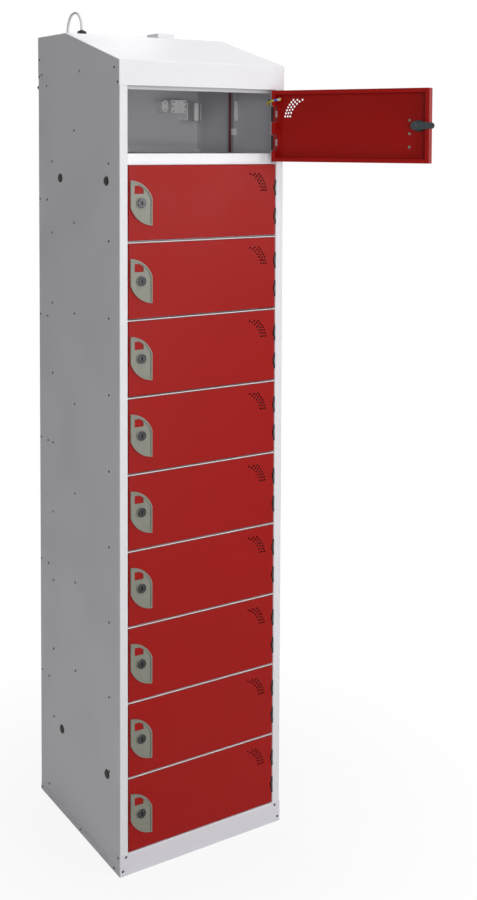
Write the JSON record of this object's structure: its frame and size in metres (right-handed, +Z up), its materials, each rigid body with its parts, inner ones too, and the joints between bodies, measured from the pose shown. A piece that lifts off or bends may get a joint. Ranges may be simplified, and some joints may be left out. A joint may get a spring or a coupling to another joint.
{
  "type": "phone locker",
  "caption": "Tall narrow steel locker with a sloping top, stacked small doors with cam locks, power fittings inside and a mains lead from the top.",
  "frame": {"origin": "middle of the base tray's footprint, on the floor", "axes": "+Z up, doors face -Y, hinges on the +X side"},
  "size_m": [0.5877, 0.9139, 1.9419],
  "materials": {
    "body_paint": "smooth light grey powder coat",
    "tray_paint": "smooth light grey powder coat",
    "inner_paint": "smooth light grey powder coat",
    "riser_paint": "smooth light grey powder coat",
    "door_paint": "dark red powder coat, semi-gloss",
    "cover_paint": "smooth light grey powder coat",
    "plate_plastic": "fine-grained grey-green moulding",
    "lock_chrome": "polished plating",
    "cam_steel": "dark zinc plating",
    "rivet_metal": "plain",
    "hinge_steel": "zinc plated",
    "black_plastic": "matt black",
    "white_plastic": "smooth white",
    "charger_plastic": "dark core with white cheeks",
    "earth_sleeve": "green and yellow insulation",
    "gland_plastic": "matt black",
    "lead_sheath": "smooth pale grey flexible sheath",
    "plug_plastic": "smooth white"
  },
  "bodies": {
    "carcass": {"base_tray": "tray_paint", "sloping_hood": "body_paint", "left_side_panel": "body_paint", "right_side_panel": "body_paint", "rear_panel": "body_paint", "service_panel": "inner_paint", "roof_panel": "inner_paint", "shelves": "inner_paint", "cable_risers": "riser_paint", "pop_rivets": "rivet_metal", "buttons_and_buffers": "black_plastic", "frame_hinges": "hinge_steel", "socket_modules": "white_plastic", "charger_units": "charger_plastic", "earth_leads": "earth_sleeve", "mains_gland": "gland_plastic", "hood_cover": "cover_paint", "mains_cable": "lead_sheath", "mains_coil": "lead_sheath", "mains_plug": "plug_plastic"},
    "door_01": {"door_leaf_01": "door_paint", "lock_plate_01": "plate_plastic", "lock_barrel_01": "lock_chrome"},
    "lock_01": {"lock_cam_01": "cam_steel"},
    "door_02": {"door_leaf_02": "door_paint", "lock_plate_02": "plate_plastic", "lock_barrel_02": "lock_chrome"},
    "lock_02": {"lock_cam_02": "cam_steel"},
    "door_03": {"door_leaf_03": "door_paint", "lock_plate_03": "plate_plastic", "lock_barrel_03": "lock_chrome"},
    "lock_03": {"lock_cam_03": "cam_steel"},
    "door_04": {"door_leaf_04": "door_paint", "lock_plate_04": "plate_plastic", "lock_barrel_04": "lock_chrome"},
    "lock_04": {"lock_cam_04": "cam_steel"},
    "door_05": {"door_leaf_05": "door_paint", "lock_plate_05": "plate_plastic", "lock_barrel_05": "lock_chrome"},
    "lock_05": {"lock_cam_05": "cam_steel"},
    "door_06": {"door_leaf_06": "door_paint", "lock_plate_06": "plate_plastic", "lock_barrel_06": "lock_chrome"},
    "lock_06": {"lock_cam_06": "cam_steel"},
    "door_07": {"door_leaf_07": "door_paint", "lock_plate_07": "plate_plastic", "lock_barrel_07": "lock_chrome"},
    "lock_07": {"lock_cam_07": "cam_steel"},
    "door_08": {"door_leaf_08": "door_paint", "lock_plate_08": "plate_plastic", "lock_barrel_08": "lock_chrome"},
    "lock_08": {"lock_cam_08": "cam_steel"},
    "door_09": {"door_leaf_09": "door_paint", "lock_plate_09": "plate_plastic", "lock_barrel_09": "lock_chrome"},
    "lock_09": {"lock_cam_09": "cam_steel"},
    "door_10": {"door_leaf_10": "door_paint", "lock_plate_10": "plate_plastic", "lock_barrel_10": "lock_chrome"},
    "lock_10": {"lock_cam_10": "cam_steel"}
  },
  "joints": [
    {"name": "door_01_hinge", "type": "hinge", "parent": "carcass", "child": "door_01", "pos_m": [0.191, -0.2168, 1.66135], "axis": [0, 0, 1], "range_deg": [-118, 17], "deforming": ["earth_leads"]},
    {"name": "door_02_hinge", "type": "hinge", "parent": "carcass", "child": "door_02", "pos_m": [0.191, -0.2168, 1.49145], "axis": [0, 0, 1], "range_deg": [0, 135], "deforming": ["earth_leads"]},
    {"name": "door_03_hinge", "type": "hinge", "parent": "carcass", "child": "door_03", "pos_m": [0.191, -0.2168, 1.32155], "axis": [0, 0, 1], "range_deg": [0, 135], "deforming": ["earth_leads"]},
    {"name": "door_04_hinge", "type": "hinge", "parent": "carcass", "child": "door_04", "pos_m": [0.191, -0.2168, 1.15165], "axis": [0, 0, 1], "range_deg": [0, 135], "deforming": ["earth_leads"]},
    {"name": "door_05_hinge", "type": "hinge", "parent": "carcass", "child": "door_05", "pos_m": [0.191, -0.2168, 0.98175], "axis": [0, 0, 1], "range_deg": [0, 135], "deforming": ["earth_leads"]},
    {"name": "door_06_hinge", "type": "hinge", "parent": "carcass", "child": "door_06", "pos_m": [0.191, -0.2168, 0.81185], "axis": [0, 0, 1], "range_deg": [0, 135], "deforming": ["earth_leads"]},
    {"name": "door_07_hinge", "type": "hinge", "parent": "carcass", "child": "door_07", "pos_m": [0.191, -0.2168, 0.64195], "axis": [0, 0, 1], "range_deg": [0, 135], "deforming": ["earth_leads"]},
    {"name": "door_08_hinge", "type": "hinge", "parent": "carcass", "child": "door_08", "pos_m": [0.191, -0.2168, 0.47205], "axis": [0, 0, 1], "range_deg": [0, 135], "deforming": ["earth_leads"]},
    {"name": "door_09_hinge", "type": "hinge", "parent": "carcass", "child": "door_09", "pos_m": [0.191, -0.2168, 0.30215], "axis": [0, 0, 1], "range_deg": [0, 135], "deforming": ["earth_leads"]},
    {"name": "door_10_hinge", "type": "hinge", "parent": "carcass", "child": "door_10", "pos_m": [0.191, -0.2168, 0.13225], "axis": [0, 0, 1], "range_deg": [0, 135], "deforming": ["earth_leads"]},
    {"name": "lock_01_turn", "type": "hinge", "parent": "door_01", "child": "lock_01", "pos_m": [0.35635, -0.52777, 1.66135], "axis": [0.8829, 0.4695, 0], "range_deg": [-90, 0]},
    {"name": "lock_02_turn", "type": "hinge", "parent": "door_02", "child": "lock_02", "pos_m": [-0.1612, -0.2168, 1.49145], "axis": [0, -1, 0], "range_deg": [0, 90]},
    {"name": "lock_03_turn", "type": "hinge", "parent": "door_03", "child": "lock_03", "pos_m": [-0.1612, -0.2168, 1.32155], "axis": [0, -1, 0], "range_deg": [0, 90]},
    {"name": "lock_04_turn", "type": "hinge", "parent": "door_04", "child": "lock_04", "pos_m": [-0.1612, -0.2168, 1.15165], "axis": [0, -1, 0], "range_deg": [0, 90]},
    {"name": "lock_05_turn", "type": "hinge", "parent": "door_05", "child": "lock_05", "pos_m": [-0.1612, -0.2168, 0.98175], "axis": [0, -1, 0], "range_deg": [0, 90]},
    {"name": "lock_06_turn", "type": "hinge", "parent": "door_06", "child": "lock_06", "pos_m": [-0.1612, -0.2168, 0.81185], "axis": [0, -1, 0], "range_deg": [0, 90]},
    {"name": "lock_07_turn", "type": "hinge", "parent": "door_07", "child": "lock_07", "pos_m": [-0.1612, -0.2168, 0.64195], "axis": [0, -1, 0], "range_deg": [0, 90]},
    {"name": "lock_08_turn", "type": "hinge", "parent": "door_08", "child": "lock_08", "pos_m": [-0.1612, -0.2168, 0.47205], "axis": [0, -1, 0], "range_deg": [0, 90]},
    {"name": "lock_09_turn", "type": "hinge", "parent": "door_09", "child": "lock_09", "pos_m": [-0.1612, -0.2168, 0.30215], "axis": [0, -1, 0], "range_deg": [0, 90]},
    {"name": "lock_10_turn", "type": "hinge", "parent": "door_10", "child": "lock_10", "pos_m": [-0.1612, -0.2168, 0.13225], "axis": [0, -1, 0], "range_deg": [0, 90]}
  ]
}
